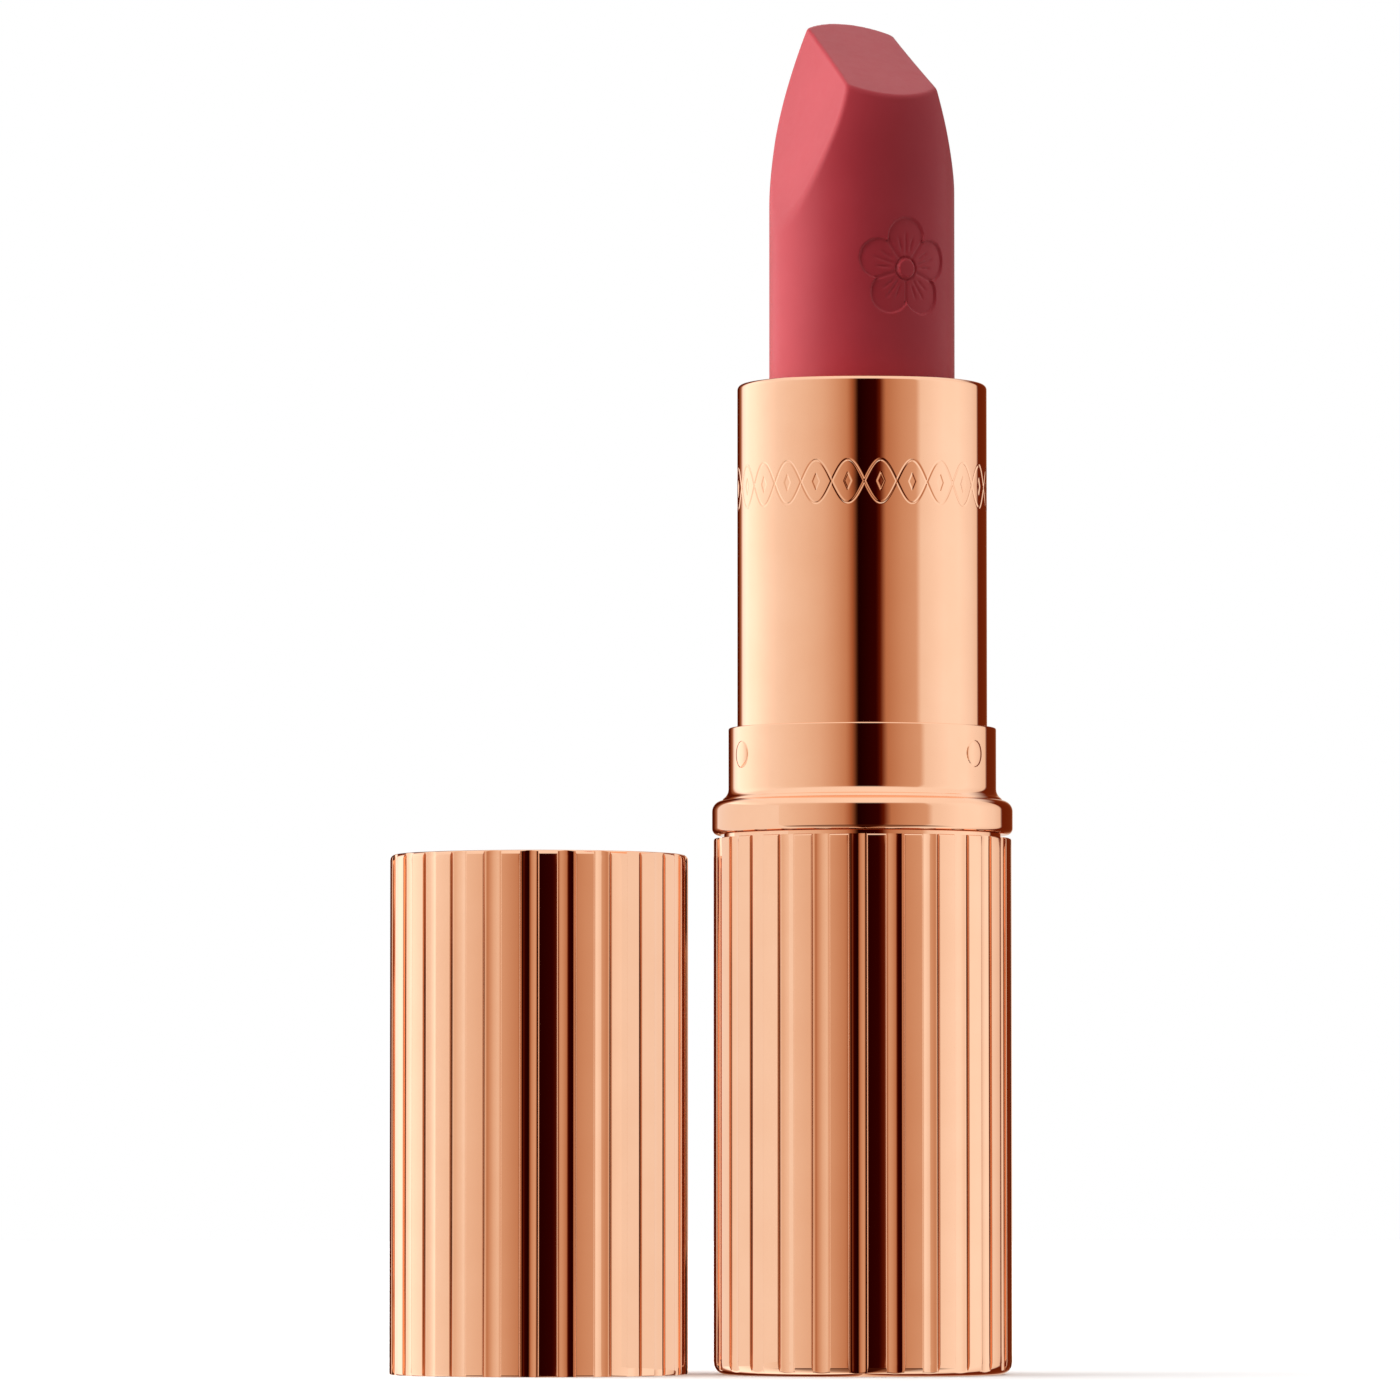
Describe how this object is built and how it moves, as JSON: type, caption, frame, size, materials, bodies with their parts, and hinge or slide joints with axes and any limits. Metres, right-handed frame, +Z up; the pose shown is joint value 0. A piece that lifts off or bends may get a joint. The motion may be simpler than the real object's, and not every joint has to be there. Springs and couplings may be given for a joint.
{
  "type": "lipstick case",
  "caption": "Twist-up lipstick in a ribbed rose-gold metal case, open with its bullet raised, and its ribbed cap standing mouth down beside it.",
  "frame": {"origin": "the middle of the base's underside, on the case's axis", "axes": "+Z up along the case's axis towards the bullet, -Y towards the viewer, the cap stands on the -X side"},
  "size_m": [0.0426, 0.0206, 0.093],
  "materials": {
    "rose_gold": "polished, rose-gold anodised, ribbed",
    "rose_gold_plain": "mirror polished, rose-gold anodised",
    "inner_plastic": "moulded, satin",
    "bearing_plastic": "moulded, slippery",
    "weight_steel": "turned",
    "label_paper": "coated, blank",
    "brake_rubber": "matt",
    "lipstick_wax": "satin wax, moulded"
  },
  "bodies": {
    "base": {"base_shell": "rose_gold", "base_insert": "inner_plastic", "base_weight": "weight_steel", "shade_label": "label_paper", "collar_ring": "rose_gold_plain", "collar_bush": "bearing_plastic", "guide_tube": "inner_plastic"},
    "sleeve": {"sleeve_shell": "rose_gold_plain", "cam_tube": "bearing_plastic", "brake_ring": "brake_rubber"},
    "carrier": {"bullet_cup": "inner_plastic", "bullet": "lipstick_wax"},
    "cap": {"cap_shell": "rose_gold", "cap_liner": "inner_plastic", "cap_weight": "weight_steel", "cap_top_plate": "rose_gold_plain"}
  },
  "joints": [
    {"name": "sleeve_turn", "type": "hinge", "parent": "base", "child": "sleeve", "pos_m": [0, 0, 0.03], "axis": [0, 0, 1], "range_deg": [-540, 0]},
    {"name": "bullet_lift", "type": "slide", "parent": "base", "child": "carrier", "axis": [0, 0, 1], "range_m": [-0.026, 0]},
    {"name": "cap_lift", "type": "slide", "parent": "base", "child": "cap", "axis": [0, 0, 1], "range_m": [0, 0.095]}
  ],
  "couplings": [
    {"joint": "bullet_lift", "follows": "sleeve_turn", "m_per_rad": 0.0027587}
  ]
}
